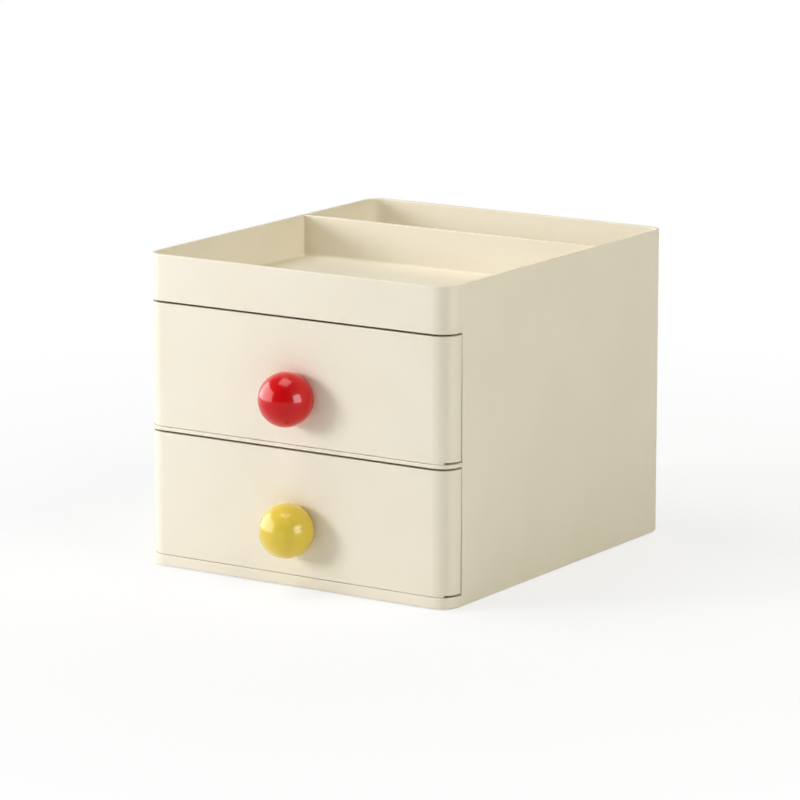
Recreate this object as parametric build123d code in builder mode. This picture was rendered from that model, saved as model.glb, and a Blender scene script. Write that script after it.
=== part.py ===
"""Desktop mini drawers: a one-piece moulded casing with an open tray on top and two drawers with ball knobs.

Millimetres, +Z up, the drawers open towards -Y. The origin is the bottom centre of the bounding box: the
desk is at z = 0, the casing is centred on x = 0, and the knobs count in the depth.
"""

import os
from math import asin, cos, hypot, sin, sqrt

from build123d import *

os.makedirs("parts", exist_ok=True)

# ---- Casing -------------------------------------------------------------------------------------------
casing_width = 170.0
casing_depth = 195.0
casing_height = 150.0
corner_radius = 9.0  # the four upright corners, which the drawer fronts carry on
casing_wall = 2.0
edge_round = 0.5  # the soft edge that a mould leaves on every exposed rim
seam_round = 0.35  # the same along the seams, which look crisper

base_height = 5.3  # the band under the lower drawer
base_floor = 2.0  # the plate inside that band
shelf_thickness = 1.8
tray_depth = 20.2
tray_floor = 2.0
divider_thickness = 2.0
rear_compartment = 60.8  # from the divider to the back wall, inside
tray_cove = 1.5  # where the tray floor turns up into its walls
drawer_count = 2

# ---- Pads and underside ---------------------------------------------------------------------------------
pad_diameter = 12.0
pad_thickness = 1.6
pad_proud = 0.6  # how far the pads lift the casing off the desk
pad_inset = 20.0  # from the casing's sides to a pad's centre
pad_ring_wall = 1.8
pad_ring_depth = 0.5  # the ring that keeps a pad in place
pad_fit = 0.3  # all round between pad and ring
pad_chamfer = 0.4
rib_thickness = 1.2
rib_lift = 0.8  # the ribs end this far above the casing's bottom edge
cross_ribs = 3

# ---- Drawers --------------------------------------------------------------------------------------------
drawer_wall = 2.0
drawer_floor = 2.0
return_straight = 1.8  # how far a drawer front goes on along the casing's side, past the rounded corner
return_wall = 1.2  # the wall that closes that return at its back
return_seam = 0.5  # between that return and the casing's side wall
front_bottom_gap = 0.2  # the hairline under a drawer front
front_top_gap = 0.95  # the dark seam over it
side_drop = 13.2  # how much lower the drawer's sides and back are than its front
rim_chamfer = 0.35  # along their top edges
side_gap = 1.5  # between the drawer's side and the casing's wall
rear_gap = 0.7  # between the closed drawer and the casing's back
floor_lift = 0.8  # the drawer's floor stands this much higher than its front's bottom edge
floor_cove = 1.5
mould_draft = 0.25  # degrees, so that the drawer leaves its mould upwards

skid_width = 3.0
skid_inset = 9.0  # from the drawer's side to a skid's middle
skid_clearance = 0.1

travel = 150.0  # a drawer's way out, ended by its tongues meeting the stop lips
lip_drop = 3.5
lip_thickness = 2.0
lip_width = 26.0
lip_spacing = 90.0
lip_ramp = 1.2  # slopes that let a drawer's tongues snap past the lips when it is first pushed in
tongue_ramp = 1.0
tongue_width = 22.0
tongue_thickness = 1.6
tongue_clearance = 0.7  # between a tongue's tip and the bay's ceiling
stop_clearance = 0.3  # left between tongue and lip when the drawer is fully out

rail_height = 2.5
rail_level = 14.0  # above the bay's floor
rail_clearance = 0.4  # between a rail and the drawer's side
rail_lead = 0.7  # the slope at a rail's front end

# ---- Knobs ----------------------------------------------------------------------------------------------
ball_diameter = 26.0
ball_seat = 6.9  # from the ball's centre to its flat back
knob_level = 22.7  # the knob's axis above the drawer front's bottom edge

insert_length = 8.0
insert_diameter = 6.0
insert_groove = 0.35  # its depth, and the slope at its ends
groove_share = 0.35  # of the insert's length, from each end to the groove
insert_sink = 0.3  # how deep the insert sits below the ball's flat back
insert_fit = 0.04

screw_diameter = 4.0
thread_clearance = 0.05
screw_hole_clearance = 0.3  # all round the screw in the front, its boss and the washer
screw_past_insert = 0.3
head_diameter = 8.0
head_height = 2.6
head_side = 0.8  # the head's straight side, under its dome
tip_chamfer = 0.5
recess_length = 4.4
recess_width = 1.0
recess_depth = 1.3
boss_diameter = 14.0
boss_height = 1.0
washer_diameter = 9.0
washer_thickness = 0.8

# ---- Worked out -----------------------------------------------------------------------------------------
knob_reach = ball_diameter / 2 + ball_seat
front_y = knob_reach - (casing_depth + knob_reach) / 2
back_y = front_y + casing_depth
casing_y = (front_y + back_y) / 2
bottom_z = pad_proud
top_z = bottom_z + casing_height

tray_floor_z = top_z - tray_depth
tray_underside_z = tray_floor_z - tray_floor
bay_height = (
    tray_underside_z - bottom_z - base_height - (drawer_count - 1) * shelf_thickness
) / drawer_count
bay_floors = [bottom_z + base_height + i * (bay_height + shelf_thickness) for i in range(drawer_count)]

return_depth = corner_radius + return_straight
bay_front_y = front_y + return_depth + return_seam
inner_back_y = back_y - casing_wall
divider_y = inner_back_y - rear_compartment - divider_thickness / 2

front_height = bay_height - front_bottom_gap - front_top_gap
drawer_half_width = casing_width / 2 - casing_wall - side_gap
drawer_back_y = inner_back_y - rear_gap
tongue_y = drawer_back_y - drawer_wall / 2
lip_back_y = tongue_y - tongue_thickness / 2 - travel - stop_clearance
rail_depth = side_gap - rail_clearance
rail_front_y = bay_front_y + 2 * casing_wall
half_width = casing_width / 2

tiny = 0.01  # how near a selected edge lies to its stated level


def casing_outline(inset=0.0):
    """The casing's plan, or its plan taken in by a wall."""
    with Locations((0, casing_y)):
        RectangleRounded(
            casing_width - 2 * inset,
            casing_depth - 2 * inset,
            corner_radius - inset,
        )


def strip(x_low, x_high, y_low, y_high, mode=Mode.ADD):
    """A rectangle between two x and two y values."""
    with Locations(((x_low + x_high) / 2, (y_low + y_high) / 2)):
        Rectangle(x_high - x_low, y_high - y_low, mode=mode)


def level_edges(part, z):
    """The edges that lie in the horizontal plane at z."""
    return part.edges().filter_by(
        lambda e: abs(e.bounding_box().min.Z - z) < tiny and abs(e.bounding_box().max.Z - z) < tiny
    )


def outside_by(point):
    """How far a point lies outside the casing's plan: negative inside it."""
    past_x = abs(point.X) - (half_width - corner_radius)
    past_y = abs(point.Y - casing_y) - (casing_depth / 2 - corner_radius)
    return hypot(max(past_x, 0), max(past_y, 0)) + min(max(past_x, past_y), 0) - corner_radius


def outer_edges(part, z, reach=tiny):
    """The level edges at z whose middle is within reach of the casing's outer surface."""
    return level_edges(part, z).filter_by(lambda e: outside_by(e @ 0.5) > -reach)


def upright_edges(part, x, y, z_low, z_high):
    """The upright edges at depth y, left and right at a distance x from the middle, inside a range of heights."""
    return part.edges().filter_by(
        lambda e: abs(abs((e @ 0.5).X) - x) < tiny and abs((e @ 0.5).Y - y) < tiny and z_low < (e @ 0.5).Z < z_high
    )


def write(part, name):
    part.label = name
    export_step(part, f"parts/{name}.step")


# ---- Casing ---------------------------------------------------------------------------------------------
pad_spots = {
    f"pad_{end}_{hand}": (x, y)
    for end, y in (("front", front_y + pad_inset), ("back", back_y - pad_inset))
    for hand, x in (("left", pad_inset - casing_width / 2), ("right", casing_width / 2 - pad_inset))
}
plate_z = bottom_z + base_height - base_floor

with BuildPart() as casing:
    with BuildSketch(Plane.XY.offset(bottom_z)):
        casing_outline()
    extrude(amount=casing_height)

    # The tray on top: two compartments either side of a divider as high as the rim.
    with BuildSketch(Plane.XY.offset(top_z)):
        casing_outline(casing_wall)
        with Locations((0, divider_y)):
            Rectangle(casing_width, divider_thickness, mode=Mode.SUBTRACT)
    extrude(amount=-tray_depth, mode=Mode.SUBTRACT)
    fillet(level_edges(casing, tray_floor_z), tray_cove)
    fillet(level_edges(casing, top_z), edge_round)

    # The drawer bays. At the front the side walls stop short, where the drawer fronts wrap round.
    for bay_floor in bay_floors:
        with BuildSketch(Plane.XY.offset(bay_floor)):
            casing_outline(casing_wall)
            strip(-half_width + casing_wall, half_width - casing_wall, front_y - 1, casing_y)
            strip(-half_width - 1, half_width + 1, front_y - 1, bay_front_y)
        extrude(amount=bay_height, mode=Mode.SUBTRACT)
    for bay_floor in bay_floors:
        bay_top = bay_floor + bay_height
        seam = outer_edges(casing, bay_floor) + outer_edges(casing, bay_top)
        seam += upright_edges(casing, half_width, bay_front_y, bay_floor, bay_top)
        fillet(seam, seam_round)
    chamfer(outer_edges(casing, bottom_z), edge_round)

    # Rails on the side walls that keep a drawer straight, and the lips that stop it.
    for bay_floor in bay_floors:
        for side in (-1, 1):
            wall_x = side * (half_width - casing_wall)
            rail_x = wall_x - side * rail_depth
            with BuildSketch(Plane.XY.offset(bay_floor + rail_level)):
                strip(
                    min(wall_x + side, rail_x),
                    max(wall_x + side, rail_x),
                    rail_front_y,
                    inner_back_y - corner_radius,
                )
            extrude(amount=rail_height)
        rail_x = half_width - casing_wall - rail_depth
        rail_tip = bay_floor + rail_level, bay_floor + rail_level + rail_height
        chamfer(upright_edges(casing, rail_x, rail_front_y, *rail_tip), rail_lead)
        with BuildSketch(Plane.XY.offset(bay_floor + bay_height)):
            with Locations((-lip_spacing / 2, lip_back_y), (lip_spacing / 2, lip_back_y)):
                Rectangle(lip_width, lip_thickness, align=(Align.CENTER, Align.MAX))
        extrude(amount=-lip_drop)
        lip_tips = level_edges(casing, bay_floor + bay_height - lip_drop)
        chamfer(lip_tips.filter_by(lambda e: abs((e @ 0.5).Y - lip_back_y + lip_thickness) < tiny), lip_ramp)

    # The hollow underside, with a ring for each pad and ribs from ring to ring.
    with BuildSketch(Plane.XY.offset(bottom_z)):
        casing_outline(casing_wall)
    extrude(amount=plate_z - bottom_z, mode=Mode.SUBTRACT)
    ring_diameter = pad_diameter + 2 * (pad_fit + pad_ring_wall)
    with BuildSketch(Plane.XY.offset(plate_z)):
        casing_outline(casing_wall)
        with BuildSketch(Plane.XY.offset(plate_z), mode=Mode.INTERSECT):
            for side in (-1, 1):
                rib_x = side * (half_width - pad_inset)
                strip(rib_x - rib_thickness / 2, rib_x + rib_thickness / 2, front_y, back_y)
            for i in range(cross_ribs):
                rib_y = front_y + pad_inset + i * (casing_depth - 2 * pad_inset) / (cross_ribs - 1)
                strip(-half_width, half_width, rib_y - rib_thickness / 2, rib_y + rib_thickness / 2)
    extrude(amount=bottom_z + rib_lift - plate_z)
    with BuildSketch(Plane.XY.offset(plate_z)):
        with Locations(*pad_spots.values()):
            Circle(ring_diameter / 2)
    extrude(amount=pad_thickness - pad_ring_depth - plate_z)
    with BuildSketch(Plane.XY.offset(pad_thickness)):
        with Locations(*pad_spots.values()):
            Circle(pad_diameter / 2 + pad_fit)
    extrude(amount=-pad_ring_depth, mode=Mode.SUBTRACT)

write(casing.part, "casing")


# ---- Pads -----------------------------------------------------------------------------------------------
for pad_name, spot in pad_spots.items():
    with BuildPart() as pad:
        with BuildSketch(Plane.XY):
            with Locations(spot):
                Circle(pad_diameter / 2)
        extrude(amount=pad_thickness)
        chamfer(level_edges(pad, 0), pad_chamfer)
    write(pad.part, pad_name)


# ---- Drawers --------------------------------------------------------------------------------------------
def drawer_block(top, height, inset=0.0, back_inset=0.0):
    """The drawer's outer form or, taken in by a wall, its inside. As wide as the casing where the front wraps
    round, then in to slide between the casing's walls. It tapers down from its top, to leave the mould."""
    with BuildPart() as block:
        with BuildSketch(Plane.XY.offset(top)):
            casing_outline(inset)
            strip(-half_width, half_width, front_y + return_depth - back_inset, back_y, mode=Mode.SUBTRACT)
            with Locations((0, drawer_back_y - inset)):
                RectangleRounded(
                    2 * (drawer_half_width - inset),
                    drawer_back_y - front_y - drawer_wall - 2 * inset,
                    corner_radius - casing_wall - side_gap - inset,
                    align=(Align.CENTER, Align.MAX),
                )
        extrude(amount=-height)
        walls = block.faces().filter_by(lambda face: abs(face.normal_at().Z) < 0.5)
        draft(walls, Plane.XY.offset(top), -mould_draft)
    return block.part


def build_drawer(bay_floor):
    bottom = bay_floor + front_bottom_gap
    top = bottom + front_height
    underside = bottom + floor_lift
    floor_top = underside + drawer_floor
    side_top = top - side_drop
    ceiling = bay_floor + bay_height
    axis_z = bottom + knob_level
    outside = drawer_block(top, front_height)
    inside = drawer_block(top, top - floor_top, drawer_wall, return_wall)
    with BuildPart() as drawer:
        add(outside)

        # Behind the front's returns the sides and the back are lower.
        with BuildSketch(Plane.XY.offset(side_top)):
            strip(-half_width, half_width, front_y + return_depth, drawer_back_y)
        extrude(amount=top - side_top, mode=Mode.SUBTRACT)

        # The floor is higher than the front's bottom edge, on two skids.
        with BuildSketch(Plane.XY.offset(bottom)):
            strip(-half_width, half_width, front_y + drawer_wall, back_y)
        extrude(amount=floor_lift, mode=Mode.SUBTRACT)

        # The front's outer edges are soft, all round its face and down the ends of its returns.
        front_edges = drawer.edges().filter_by(lambda e: outside_by(e @ 0.5) > -drawer_wall / 2)
        fillet(
            front_edges.filter_by(
                lambda e: abs((e % 0.5).Z) < 0.5 or (e @ 0.5).Y > front_y + corner_radius + tiny
            ),
            seam_round,
        )

        add(inside, mode=Mode.SUBTRACT)
        fillet(level_edges(drawer, floor_top), floor_cove)
        rim = level_edges(drawer, side_top)
        chamfer(rim.filter_by(lambda e: (e @ 0.5).Y > front_y + return_depth + tiny), rim_chamfer)

        # Two tongues stand up from the back's rim and meet the stop lips when the drawer is out.
        with BuildSketch(Plane.XY.offset(side_top - drawer_wall)):
            with Locations((-lip_spacing / 2, tongue_y), (lip_spacing / 2, tongue_y)):
                Rectangle(tongue_width, tongue_thickness)
        extrude(amount=ceiling - tongue_clearance - side_top + drawer_wall)
        tongue_tips = level_edges(drawer, ceiling - tongue_clearance)
        chamfer(tongue_tips.filter_by(lambda e: (e @ 0.5).Y > tongue_y + tongue_thickness / 2 - tiny), tongue_ramp)

        skid_x = drawer_half_width - skid_inset
        with BuildSketch(Plane.XY.offset(underside)):
            for x in (-skid_x, skid_x):
                strip(
                    x - skid_width / 2,
                    x + skid_width / 2,
                    front_y + return_depth,
                    drawer_back_y - corner_radius,
                )
        extrude(amount=bay_floor + skid_clearance - underside)

        # A boss behind the front takes the washer, and the knob's screw goes through it.
        boss_plane = Plane(
            origin=(0, front_y + drawer_wall + boss_height, axis_z),
            x_dir=(1, 0, 0),
            z_dir=(0, -1, 0),
        )
        with BuildSketch(boss_plane):
            Circle(boss_diameter / 2)
        extrude(amount=boss_height + drawer_wall / 2)
        with BuildSketch(boss_plane):
            Circle(screw_hole_diameter / 2)
        extrude(amount=boss_height + 2 * drawer_wall, mode=Mode.SUBTRACT)
    return drawer.part


# ---- Knobs and what holds them --------------------------------------------------------------------------
bore_radius = insert_diameter / 2 + insert_fit
bore_depth = insert_sink + insert_length + 2 * screw_past_insert
seat_radius = sqrt((ball_diameter / 2) ** 2 - ball_seat**2)
boss_face_y = drawer_wall + boss_height
screw_hole_diameter = screw_diameter + 2 * screw_hole_clearance
head_y = boss_face_y + washer_thickness
screw_length = head_y + insert_sink + insert_length + screw_past_insert


def knob_plane(axis_z):
    """Local x runs out from the knob's axis, and local y along it, from 0 at the drawer's face towards the inside."""
    return Plane(origin=(0, front_y, axis_z), x_dir=(1, 0, 0), z_dir=(0, 0, 1))


def knob_axis(axis_z):
    return Axis((0, front_y, axis_z), (0, 1, 0))


def half_section(points, arc=None):
    """The face inside straight lines from point to point, closed by an arc where one is given."""
    with BuildLine() as outline:
        Polyline(*points)
        if arc:
            ThreePointArc(*arc)
        else:
            Line(points[-1], points[0])
    make_face(outline.edges())


def build_knob(axis_z):
    nose = (0, -knob_reach)
    rim = (seat_radius, 0)
    waist = (ball_diameter / 2, -ball_seat)
    bored = [rim, (bore_radius, 0), (bore_radius, -bore_depth), (0, -bore_depth), nose]
    with BuildPart() as knob:
        with BuildSketch(knob_plane(axis_z)):
            half_section(bored, arc=(nose, waist, rim))
        revolve(axis=knob_axis(axis_z))
    return knob.part


def build_insert(axis_z):
    outer = insert_diameter / 2
    waist = outer - insert_groove
    bore = screw_diameter / 2 + thread_clearance
    near = -insert_sink
    far = near - insert_length
    groove_start = near - groove_share * insert_length
    groove_end = far + groove_share * insert_length
    grooved = [
        (bore, near),
        (outer, near),
        (outer, groove_start),
        (waist, groove_start - insert_groove),
        (waist, groove_end + insert_groove),
        (outer, groove_end),
        (outer, far),
        (bore, far),
    ]
    with BuildPart() as insert:
        with BuildSketch(knob_plane(axis_z)):
            half_section(grooved)
        revolve(axis=knob_axis(axis_z))
    return insert.part


def build_washer(axis_z):
    with BuildPart() as washer:
        with BuildSketch(Plane.XZ.offset(-(front_y + boss_face_y))):
            with Locations((0, axis_z)):
                Circle(washer_diameter / 2)
                Circle(screw_hole_diameter / 2, mode=Mode.SUBTRACT)
        extrude(amount=-washer_thickness)
    return washer.part


def build_screw(axis_z):
    shank = screw_diameter / 2
    head = head_diameter / 2
    tip_y = head_y - screw_length
    crown = (0, head_y + head_height)
    shoulder = (head, head_y + head_side)
    rise = head_height - head_side
    dome_radius = (head**2 + rise**2) / (2 * rise)
    half_turn = asin(head / dome_radius) / 2
    dome = (dome_radius * sin(half_turn), crown[1] - dome_radius * (1 - cos(half_turn)))
    turned = [
        crown,
        (0, tip_y),
        (shank - tip_chamfer, tip_y),
        (shank, tip_y + tip_chamfer),
        (shank, head_y),
        (head, head_y),
        shoulder,
    ]
    with BuildPart() as screw:
        with BuildSketch(knob_plane(axis_z)):
            half_section(turned, arc=(shoulder, dome, crown))
        revolve(axis=knob_axis(axis_z))
        with BuildSketch(Plane.XZ.offset(-(front_y + crown[1]))):
            with Locations((0, axis_z)):
                Rectangle(recess_length, recess_width)
                Rectangle(recess_width, recess_length)
        extrude(amount=recess_depth, mode=Mode.SUBTRACT)
    return screw.part


for level, bay_floor in zip(("lower", "upper"), bay_floors):
    knob_z = bay_floor + front_bottom_gap + knob_level
    write(build_drawer(bay_floor), f"{level}_drawer")
    write(build_knob(knob_z), f"{level}_knob")
    write(build_insert(knob_z), f"{level}_knob_insert")
    write(build_washer(knob_z), f"{level}_knob_washer")
    write(build_screw(knob_z), f"{level}_knob_screw")
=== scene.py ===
"""Looks of the desktop mini drawers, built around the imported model. Metres, in the model's own frame."""

import math

import bmesh
import bpy
from mathutils import Matrix, Vector


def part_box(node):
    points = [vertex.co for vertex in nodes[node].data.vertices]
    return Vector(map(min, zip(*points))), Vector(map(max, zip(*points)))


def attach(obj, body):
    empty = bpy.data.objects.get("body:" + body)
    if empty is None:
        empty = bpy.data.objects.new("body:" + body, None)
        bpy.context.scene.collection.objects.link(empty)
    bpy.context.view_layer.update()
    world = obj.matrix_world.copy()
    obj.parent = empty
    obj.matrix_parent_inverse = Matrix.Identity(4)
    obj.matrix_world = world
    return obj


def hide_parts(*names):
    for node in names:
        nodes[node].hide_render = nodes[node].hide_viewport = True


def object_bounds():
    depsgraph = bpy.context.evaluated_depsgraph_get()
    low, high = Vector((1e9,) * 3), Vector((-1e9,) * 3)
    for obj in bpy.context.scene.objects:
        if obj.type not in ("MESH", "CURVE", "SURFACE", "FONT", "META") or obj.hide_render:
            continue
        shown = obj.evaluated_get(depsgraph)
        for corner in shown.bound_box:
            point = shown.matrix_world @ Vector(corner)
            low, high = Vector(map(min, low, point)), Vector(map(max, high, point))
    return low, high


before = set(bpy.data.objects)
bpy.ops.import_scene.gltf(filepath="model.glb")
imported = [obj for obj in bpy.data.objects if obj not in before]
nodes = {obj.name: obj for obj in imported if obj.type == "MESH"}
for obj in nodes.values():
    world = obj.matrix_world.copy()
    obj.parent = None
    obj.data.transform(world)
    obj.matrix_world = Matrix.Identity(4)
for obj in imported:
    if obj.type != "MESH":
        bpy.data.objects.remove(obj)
cad_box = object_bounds()

MM = 0.001
IMAGE_SIDE = 800  # pixels, of the photograph's square frame
SHARP_ANGLE = 35  # degrees between faces, from which an edge stays sharp

# ---- Camera -----------------------------------------------------------------------------------------------
SENSOR_WIDTH = 36.0  # mm
CAMERA_PLACE = Vector((1148.66, -1754.19, 512.14)) * MM
CAMERA_AZIMUTH = 33.19  # degrees round from the front, to the right
CAMERA_ELEVATION = 11.796
FOCAL_LENGTH = 4472.4  # in pixels of the photograph
NEAREST_SEEN = 0.1
FARTHEST_SEEN = 50.0

# ---- Studio -----------------------------------------------------------------------------------------------
FLOOR_SIDE = 14.0
FLOOR_WHITE = (0.93, 0.93, 0.93)
FLOOR_SHADE = 0.3  # how much of the floor's own light and shade shows over plain white, near the object
FLOOR_FADE = (0.15, 0.6)  # the distances from the origin between which that fades out
WORLD_STRENGTH = 0.1
KEY_TINT = (1.0, 1.0, 1.05)
WARM_TINT = (1.0, 0.97, 0.86)
LAMP_DISTANCE = 1.5

# ---- Ball knobs -------------------------------------------------------------------------------------------
BALL_RIM_ROUND = 0.3 * MM
BORE_RADIUS = 3.04 * MM
BORE_DEPTH = 8.9 * MM


# ---- Shader maths -----------------------------------------------------------------------------------------
class Value:
    """A number that varies over a surface: a node's output socket with the arithmetic operators."""

    def __init__(self, paint, socket):
        self.paint = paint
        self.socket = socket

    def _with(self, operation, first, second):
        return self.paint.node("ShaderNodeMath", {"operation": operation}, {0: first, 1: second})

    def __add__(self, other):
        return self._with("ADD", self, other)

    __radd__ = __add__

    def __mul__(self, other):
        return self._with("MULTIPLY", self, other)

    __rmul__ = __mul__

    def __rsub__(self, other):
        return self._with("SUBTRACT", other, self)


class Paint:
    """A node tree under construction, for a material or the world, with its surface coordinates."""

    def __init__(self, owner):
        owner.use_nodes = True
        self.tree = owner.node_tree
        self.tree.nodes.clear()
        self.place = self.node("ShaderNodeTexCoord", {}, {}, "Object")

    def node(self, kind, settings, inputs, output=0):
        """Adds a node: first its settings, then its sockets' values or links. Gives one output back."""
        made = self.tree.nodes.new(kind)
        for setting, value in settings.items():
            setattr(made, setting, value)
        for key, value in inputs.items():
            self.feed(made.inputs[key], value)
        return Value(self, made.outputs[output]) if made.outputs else made

    def feed(self, socket, value):
        if isinstance(value, Value):
            self.tree.links.new(value.socket, socket)
        elif hasattr(value, "__len__") and len(value) == 3 and socket.type == "RGBA":
            socket.default_value = (*value, 1.0)
        else:
            socket.default_value = value

    def principled(self, **inputs):
        """The main shader, whose sockets are named with underscores for spaces."""
        sockets = {name.replace("_", " "): value for name, value in inputs.items()}
        shader = self.node("ShaderNodeBsdfPrincipled", {}, sockets)
        self.node("ShaderNodeOutputMaterial", {}, {"Surface": shader})

    def noise(self, size, detail=2.0, roughness=0.5, stretch=(1, 1, 1)):
        """Soft noise from 0 to 1 whose lumps are about size metres wide."""
        place = self.node("ShaderNodeMapping", {}, {"Vector": self.place, "Scale": stretch})
        return self.node(
            "ShaderNodeTexNoise",
            {},
            {"Vector": place, "Scale": 1 / size, "Detail": detail, "Roughness": roughness},
            "Fac",
        )

    def grains(self, size):
        """Distance to the nearest of scattered points that lie about size metres apart."""
        return self.node(
            "ShaderNodeTexVoronoi",
            {"feature": "F1"},
            {"Vector": self.place, "Scale": 1 / size},
            "Distance",
        )

    def ramp(self, value, low, high):
        """0 below low, 1 above high, smooth between."""
        return self.node(
            "ShaderNodeMapRange",
            {"interpolation_type": "SMOOTHSTEP"},
            {"Value": value, "From Min": low, "From Max": high},
        )

    def mix(self, share, first, second):
        """A colour between two, by a share from 0 to 1."""
        return self.node("ShaderNodeMixRGB", {}, {"Fac": share, "Color1": first, "Color2": second})

    def bump(self, height, distance, normal=None):
        inputs = {"Height": height, "Distance": distance}
        if normal is not None:
            inputs["Normal"] = normal
        return self.node("ShaderNodeBump", {}, inputs)

    def seen_ray(self):
        """1 for rays from the camera, off gloss and through glass, 0 for light on its way to the object."""
        path = self.tree.nodes.new("ShaderNodeLightPath")
        camera = Value(self, path.outputs["Is Camera Ray"])
        glossy = Value(self, path.outputs["Is Glossy Ray"])
        clear = Value(self, path.outputs["Is Transmission Ray"])
        settings = {"operation": "ADD", "use_clamp": True}
        return self.node("ShaderNodeMath", settings, {0: camera + glossy, 1: clear})

    def blend_shaders(self, share, first, second):
        return self.node("ShaderNodeMixShader", {}, {0: share, 1: first, 2: second})


def linear(red, green, blue):
    """A colour given by its 0 to 255 screen values, as the shader wants it."""
    shares = [v / 255 for v in (red, green, blue)]
    return tuple(s / 12.92 if s <= 0.04045 else ((s + 0.055) / 1.055) ** 2.4 for s in shares)


# ---- Finishes ---------------------------------------------------------------------------------------------
def cream_plastic(paint):
    """Satin ABS from a finely eroded mould: a faint grain, slow waviness and a hardly visible cloudiness."""
    cloud = paint.noise(45 * MM, detail=3.0)
    grain = paint.noise(0.32 * MM, detail=2.0, roughness=0.6)
    waves = paint.noise(22 * MM, detail=1.0)
    paint.principled(
        Base_Color=paint.mix(paint.ramp(cloud, 0.3, 0.7), linear(235, 227, 207), linear(237, 230, 211)),
        Roughness=0.44 + 0.05 * paint.noise(9 * MM) + 0.04 * grain,
        Normal=paint.bump(grain, 0.012 * MM, normal=paint.bump(waves, 0.1 * MM)),
        Specular_IOR_Level=0.3,
    )


def gloss_plastic(paint, deep, bright):
    """Polished coloured plastic under a clear coat, with the slow orange peel of a sprayed gloss."""
    peel = paint.noise(3.5 * MM, detail=1.0)
    paint.principled(
        Base_Color=paint.mix(paint.noise(14 * MM, detail=2.0), deep, bright),
        Roughness=0.3 + 0.05 * paint.noise(2 * MM),
        Normal=paint.bump(peel, 0.008 * MM),
        Specular_IOR_Level=0.1,
        Coat_Weight=1.0,
        Coat_Roughness=0.02,
        Coat_IOR=1.3,
    )


def turned_metal(paint, colour, rough):
    """Turned metal: fine rings about the knob's axis and a slightly uneven sheen."""
    rings = paint.noise(0.35 * MM, detail=2.0, stretch=(0.08, 1, 0.08))
    tone = paint.noise(1.6 * MM, detail=3.0)
    paint.principled(
        Base_Color=paint.mix(tone, [0.86 * c for c in colour], colour),
        Metallic=1.0,
        Roughness=rough + 0.12 * tone,
        Normal=paint.bump(rings, 0.01 * MM),
    )


def pad_rubber(paint):
    """Pale matt rubber with a dusty, finely pitted face."""
    pits = paint.grains(0.5 * MM)
    dust = paint.noise(3 * MM, detail=4.0)
    paint.principled(
        Base_Color=paint.mix(paint.ramp(dust, 0.35, 0.75), linear(205, 203, 198), linear(186, 183, 177)),
        Roughness=0.72 + 0.15 * dust,
        Normal=paint.bump(pits, 0.04 * MM),
    )


def finish(name, recipe, *settings):
    """A material with one of the recipes above."""
    material = bpy.data.materials.new(name)
    recipe(Paint(material), *settings)
    return material


cream = finish("cream_plastic", cream_plastic)
red_gloss = finish("red_gloss", gloss_plastic, linear(195, 0, 5), linear(212, 1, 9))
yellow_gloss = finish("yellow_gloss", gloss_plastic, linear(220, 192, 64), linear(227, 201, 78))
brass = finish("brass", turned_metal, linear(222, 186, 112), 0.28)
zinc_steel = finish("zinc_steel", turned_metal, linear(205, 208, 212), 0.24)
rubber = finish("pad_rubber", pad_rubber)


def node_finish(name):
    """The finish that a CAD node gets, by what it is."""
    if name.startswith("pad_"):
        return rubber
    if name.endswith("_insert"):
        return brass
    if name.endswith(("_screw", "_washer")):
        return zinc_steel
    return cream


for name, node in nodes.items():
    node.data.materials.clear()
    node.data.materials.append(node_finish(name))


# ---- Pieces modelled here ---------------------------------------------------------------------------------
def add_piece(name, shape, material):
    """Makes an object of a finished bmesh, which already lies in its place."""
    bmesh.ops.recalc_face_normals(shape, faces=shape.faces)
    mesh = bpy.data.meshes.new(name)
    shape.to_mesh(mesh)
    shape.free()
    mesh.materials.append(material)
    mesh.shade_smooth()
    mesh.set_sharp_from_angle(angle=math.radians(SHARP_ANGLE))
    piece = bpy.data.objects.new(name, mesh)
    bpy.context.scene.collection.objects.link(piece)
    return piece


def ball_knob(level, material):
    """A ball whose back is cut flat, with a soft rim there and a bore for the insert."""
    low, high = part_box(f"{level}_knob")
    radius = (high.x - low.x) / 2
    middle = Vector(((low.x + high.x) / 2, low.y + radius, (low.z + high.z) / 2))
    seat = high.y - middle.y
    shape = bmesh.new()
    bmesh.ops.create_uvsphere(shape, u_segments=128, v_segments=64, radius=radius)
    bmesh.ops.rotate(shape, verts=shape.verts, matrix=Matrix.Rotation(math.radians(90), 3, "X"))
    bmesh.ops.bisect_plane(
        shape,
        geom=[*shape.verts, *shape.edges, *shape.faces],
        plane_co=(0, seat, 0),
        plane_no=(0, 1, 0),
        clear_outer=True,
    )
    rim = [edge for edge in shape.edges if edge.is_boundary]
    back = bmesh.ops.contextual_create(shape, geom=rim)["faces"]
    bmesh.ops.bevel(
        shape,
        geom=list(back[0].edges),
        offset=BALL_RIM_ROUND,
        segments=4,
        profile=0.5,
        affect="EDGES",
        material=-1,
    )
    back = max(shape.faces, key=lambda face: face.calc_area())
    back_radius = max(math.hypot(vert.co.x, vert.co.z) for vert in back.verts)
    bmesh.ops.inset_region(shape, faces=[back], thickness=back_radius - BORE_RADIUS)
    bore = bmesh.ops.extrude_face_region(shape, geom=[back])["geom"]
    bottom = [part for part in bore if isinstance(part, bmesh.types.BMVert)]
    bmesh.ops.translate(shape, verts=bottom, vec=(0, -BORE_DEPTH, 0))
    bmesh.ops.delete(shape, geom=[back], context="FACES_ONLY")
    bmesh.ops.translate(shape, verts=shape.verts, vec=middle)
    piece = add_piece(f"{level}_ball", shape, material)
    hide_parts(f"{level}_knob")
    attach(piece, f"{level}_drawer")
    return piece


ball_knob("upper", red_gloss)
ball_knob("lower", yellow_gloss)


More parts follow.
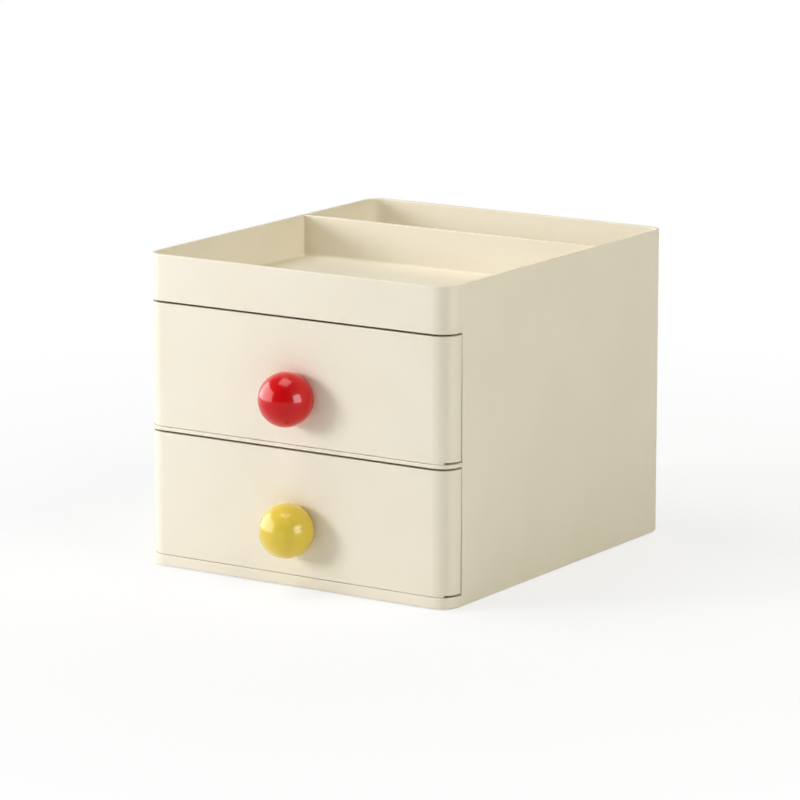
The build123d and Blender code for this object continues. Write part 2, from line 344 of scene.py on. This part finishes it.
# ---- Stage ------------------------------------------------------------------------------------------------
def add_floor():
    """A white floor. It is seen nearly white, with the object's shadow softened on it."""
    mesh = bpy.data.meshes.new("floor")
    shape = bmesh.new()
    bmesh.ops.create_grid(shape, x_segments=1, y_segments=1, size=FLOOR_SIDE / 2)
    shape.to_mesh(mesh)
    shape.free()
    floor = bpy.data.objects.new("floor", mesh)
    bpy.context.scene.collection.objects.link(floor)
    material = bpy.data.materials.new("floor")
    paint = Paint(material)
    matt = paint.node("ShaderNodeBsdfDiffuse", {}, {"Color": FLOOR_WHITE})
    white = paint.node("ShaderNodeEmission", {}, {"Color": (1, 1, 1), "Strength": 1.0})
    distance = paint.node("ShaderNodeVectorMath", {"operation": "LENGTH"}, {0: paint.place}, "Value")
    near = 1 - paint.ramp(distance, *FLOOR_FADE)
    seen = paint.blend_shaders(FLOOR_SHADE * near, white, matt)
    surface = paint.blend_shaders(paint.seen_ray(), matt, seen)
    paint.node("ShaderNodeOutputMaterial", {}, {"Surface": surface})
    mesh.materials.append(material)


def add_world():
    """A weak, even light from all round, so that no side of the object is black."""
    world = bpy.data.worlds.new("studio")
    bpy.context.scene.world = world
    paint = Paint(world)
    light = paint.node("ShaderNodeBackground", {}, {"Color": (1, 1, 1), "Strength": WORLD_STRENGTH})
    paint.node("ShaderNodeOutputWorld", {}, {"Surface": light})


def direction(azimuth, elevation):
    """The unit vector from the object towards a place, 0 being straight in front and 90 to its right."""
    a = math.radians(azimuth)
    e = math.radians(elevation)
    return Vector((math.sin(a) * math.cos(e), -math.cos(a) * math.cos(e), math.sin(e)))


def add_lamp(name, azimuth, elevation, width, height, power, colour=(1, 1, 1), diffuse=True, gloss=True):
    """A soft box that faces the object, placed by its direction from it in degrees, with its watts."""
    data = bpy.data.lights.new(name, "AREA")
    data.shape = "RECTANGLE"
    data.size = width
    data.size_y = height
    data.energy = power
    data.color = colour
    lamp = bpy.data.objects.new(name, data)
    bpy.context.scene.collection.objects.link(lamp)
    out = direction(azimuth, elevation)
    lamp.location = (cad_box[0] + cad_box[1]) / 2 + out * LAMP_DISTANCE
    lamp.rotation_mode = "QUATERNION"
    lamp.rotation_quaternion = (-out).to_track_quat("-Z", "Y")
    lamp.visible_camera = False
    lamp.visible_diffuse = diffuse
    lamp.visible_glossy = gloss


def add_camera():
    data = bpy.data.cameras.new("camera")
    data.sensor_width = SENSOR_WIDTH
    data.lens = FOCAL_LENGTH * SENSOR_WIDTH / IMAGE_SIDE
    data.clip_start = NEAREST_SEEN
    data.clip_end = FARTHEST_SEEN
    camera = bpy.data.objects.new("camera", data)
    bpy.context.scene.collection.objects.link(camera)
    back = direction(CAMERA_AZIMUTH, CAMERA_ELEVATION)
    camera.location = CAMERA_PLACE
    camera.rotation_mode = "QUATERNION"
    camera.rotation_quaternion = (-back).to_track_quat("-Z", "Y")
    bpy.context.scene.camera = camera


add_floor()
add_world()
add_lamp("key", -44, 14, 0.42, 0.42, 11.6, KEY_TINT, gloss=False)
add_lamp("right_high", 82, 40, 0.9, 0.9, 10.5, WARM_TINT, gloss=False)
add_lamp("overhead", -65, 62, 0.9, 0.9, 10.5, gloss=False)
add_lamp("overhead_glint", 0, 84, 0.9, 0.9, 12, diffuse=False)
add_lamp("rear_fill", 200, 25, 0.9, 0.9, 5, gloss=False)
add_lamp("left_glint", -66, 8, 2.6, 1.7, 90, diffuse=False)
add_lamp("right_glint", 83, 9.5, 1.0, 0.9, 28, diffuse=False)
add_camera()

bpy.context.scene.view_settings.view_transform = "Standard"
